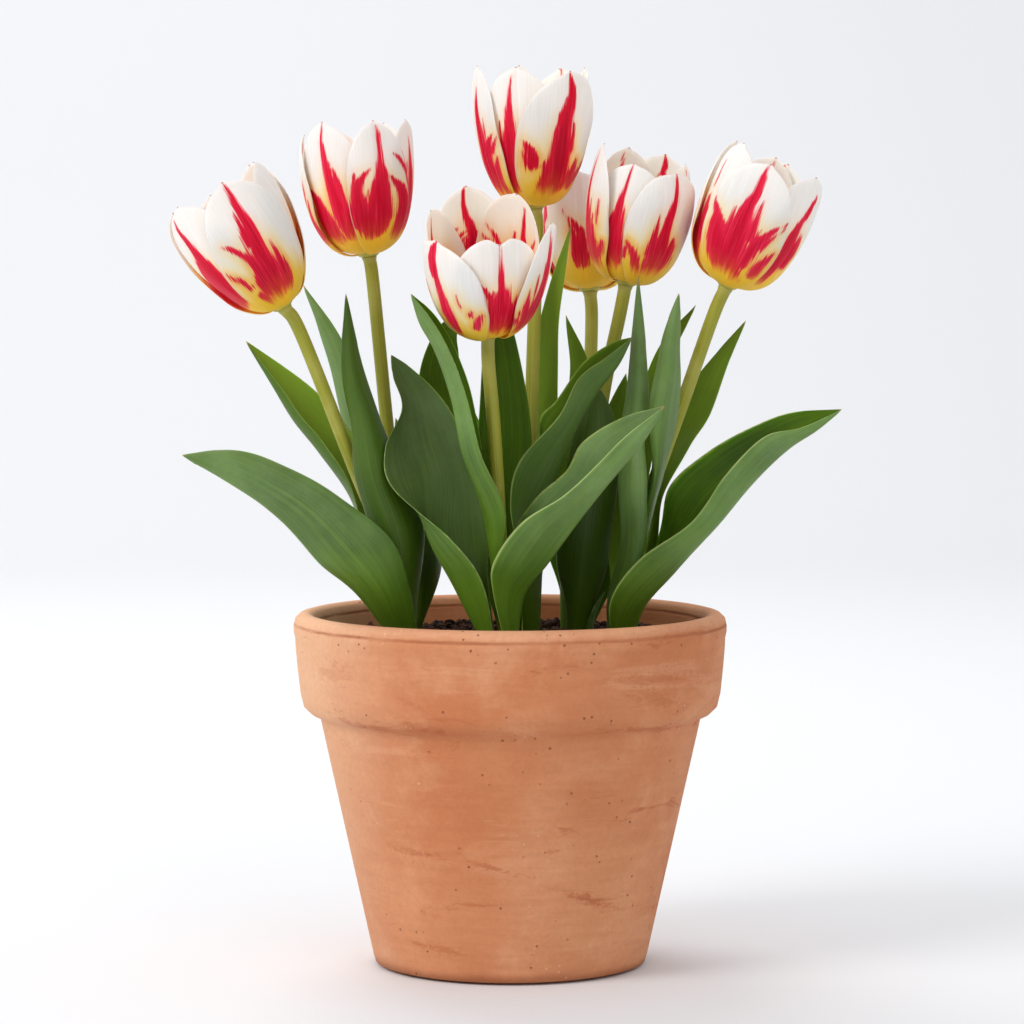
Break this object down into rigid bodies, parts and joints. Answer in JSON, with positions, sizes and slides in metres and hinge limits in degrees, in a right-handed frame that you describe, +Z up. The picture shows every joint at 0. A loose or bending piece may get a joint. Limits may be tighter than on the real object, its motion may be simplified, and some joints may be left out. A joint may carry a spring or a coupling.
{
  "type": "potted tulip",
  "caption": "flamed red and white tulips with broad waved leaves, growing from bulbs in soil in a tapered clay pot with a thick rim band",
  "frame": {"origin": "on the surface that the pot stands on, on the pot's axis, under the middle of the whole plant", "axes": "+Z up out of the pot, -Y the front that the open bloom leans towards, +X the viewer's right"},
  "size_m": [0.3028, 0.2, 0.4157],
  "materials": {
    "terracotta": "unglazed fired clay, matt, mottled with fine pits and darker smears",
    "compost": "dark moist compost of peat and composted bark, crumbly",
    "bulb_skin": "dry papery brown tunic over the bulb",
    "stem": "smooth living stem, yellow-green, soft sheen",
    "leaf": "smooth leaf with fine lengthwise veins, grey-green bloom outside, brighter green inside, thin pale margin",
    "petal": "satin petal, white with a crimson flame along the middle and a yellow base",
    "pistil": "pale green pistil with dark stamens, matt"
  },
  "bodies": {
    "root": {"pot": "terracotta", "soil": "compost", "bulb_1": "bulb_skin", "stem_1": "stem", "bloom_1": "petal", "heart_1": "pistil", "bulb_2": "bulb_skin", "stem_2": "stem", "bloom_2": "petal", "heart_2": "pistil", "bulb_3": "bulb_skin", "stem_3": "stem", "bloom_3": "petal", "heart_3": "pistil", "bulb_4": "bulb_skin", "stem_4": "stem", "bloom_4": "petal", "heart_4": "pistil", "bulb_5": "bulb_skin", "stem_5": "stem", "bloom_5": "petal", "heart_5": "pistil", "bulb_6": "bulb_skin", "stem_6": "stem", "bloom_6": "petal", "heart_6": "pistil", "bulb_7": "bulb_skin", "stem_7": "stem", "bloom_7": "petal", "heart_7": "pistil", "leaf_left_arching": "leaf", "leaf_left_raised": "leaf", "leaf_left_tall": "leaf", "leaf_rear_left_narrow": "leaf", "leaf_rear_left_sheath": "leaf", "leaf_rear_left_back": "leaf", "leaf_front_left_broad": "leaf", "leaf_front_left_tall": "leaf", "leaf_front_rear_upright": "leaf", "leaf_front_right_waved": "leaf", "leaf_middle_rear_left": "leaf", "leaf_middle_tall": "leaf", "leaf_middle_right_curved": "leaf", "leaf_rear_middle": "leaf", "leaf_rear_back": "leaf", "leaf_right_boat": "leaf", "leaf_right_shoot": "leaf", "leaf_right_rear_upright": "leaf", "leaf_right_back": "leaf", "leaf_far_right_upright": "leaf", "leaf_far_right_pointed": "leaf", "leaf_far_right_behind": "leaf", "leaf_far_right_raised": "leaf", "leaf_far_right_arching": "leaf"}
  },
  "joints": []
}
